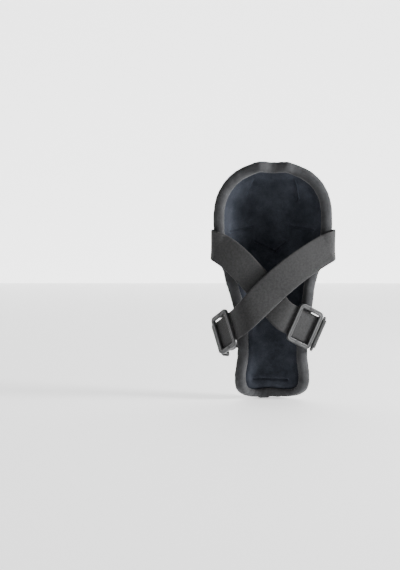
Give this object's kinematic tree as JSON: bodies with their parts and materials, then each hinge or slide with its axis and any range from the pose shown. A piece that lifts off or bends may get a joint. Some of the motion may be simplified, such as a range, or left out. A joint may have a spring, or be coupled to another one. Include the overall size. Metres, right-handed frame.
{
  "type": "forearm and elbow guard",
  "caption": "Padded forearm and elbow guard: soft trough with a deep elbow cup, riveted outer plates and two elastic straps that cross over the arm to sliding buckles.",
  "frame": {"origin": "middle of the wrist end, on the plane of the pad's rim", "axes": "+Z along the forearm towards the elbow, +Y from the arm to the outer plates, +X to the right seen from the open side"},
  "size_m": [0.1608, 0.1013, 0.3069],
  "materials": {
    "lining": "brushed velour, dark blue grey",
    "foam": "soft closed-cell foam",
    "cover": "woven nylon",
    "binding": "folded grosgrain tape",
    "plate": "moulded, satin with fine grain",
    "rivet": "dark zinc",
    "elastic": "woven elastic",
    "webbing": "woven webbing",
    "buckle": "moulded acetal, slight gloss",
    "ring": "black coated wire"
  },
  "bodies": {
    "forearm": {"forearm_lining": "lining", "forearm_foam": "foam", "forearm_cover": "cover", "forearm_binding": "binding", "forearm_plate": "plate", "forearm_rivets": "rivet", "forearm_washers": "rivet", "strap_left": "elastic", "strap_right": "elastic", "tab_left": "webbing", "tab_right": "webbing"},
    "cup": {"cup_lining": "lining", "cup_foam": "foam", "cup_cover": "cover", "cup_binding": "binding", "cup_plate": "plate", "cup_rivets": "rivet", "cup_washers": "rivet"},
    "buckle_left": {"buckle_left": "buckle", "strap_end_left": "elastic"},
    "buckle_right": {"buckle_right": "buckle", "strap_end_right": "elastic"},
    "ring_left": {"ring_left": "ring", "strap_turn_left": "elastic"},
    "ring_right": {"ring_right": "ring", "strap_turn_right": "elastic"}
  },
  "joints": [
    {"name": "cup_flex", "type": "hinge", "parent": "forearm", "child": "cup", "pos_m": [0, 0.026, 0.228], "axis": [1, 0, 0], "range_deg": [-7, 7]},
    {"name": "buckle_left_slide", "type": "slide", "parent": "forearm", "child": "buckle_left", "axis": [-0.5064, 0.7233, -0.4695], "range_m": [-0.005, 0.001]},
    {"name": "ring_left_swing", "type": "hinge", "parent": "forearm", "child": "ring_left", "pos_m": [-0.0621, 0.0243, 0.07465], "axis": [-0.2693, 0.3846, 0.8829], "range_deg": [-5, 5]},
    {"name": "buckle_right_slide", "type": "slide", "parent": "forearm", "child": "buckle_right", "axis": [0.8446, 0.3074, -0.4384], "range_m": [-0.005, 0.001]},
    {"name": "ring_right_swing", "type": "hinge", "parent": "forearm", "child": "ring_right", "pos_m": [0.05853, 0.00586, 0.0828], "axis": [0.4119, 0.1499, 0.8988], "range_deg": [-5, 5]}
  ]
}
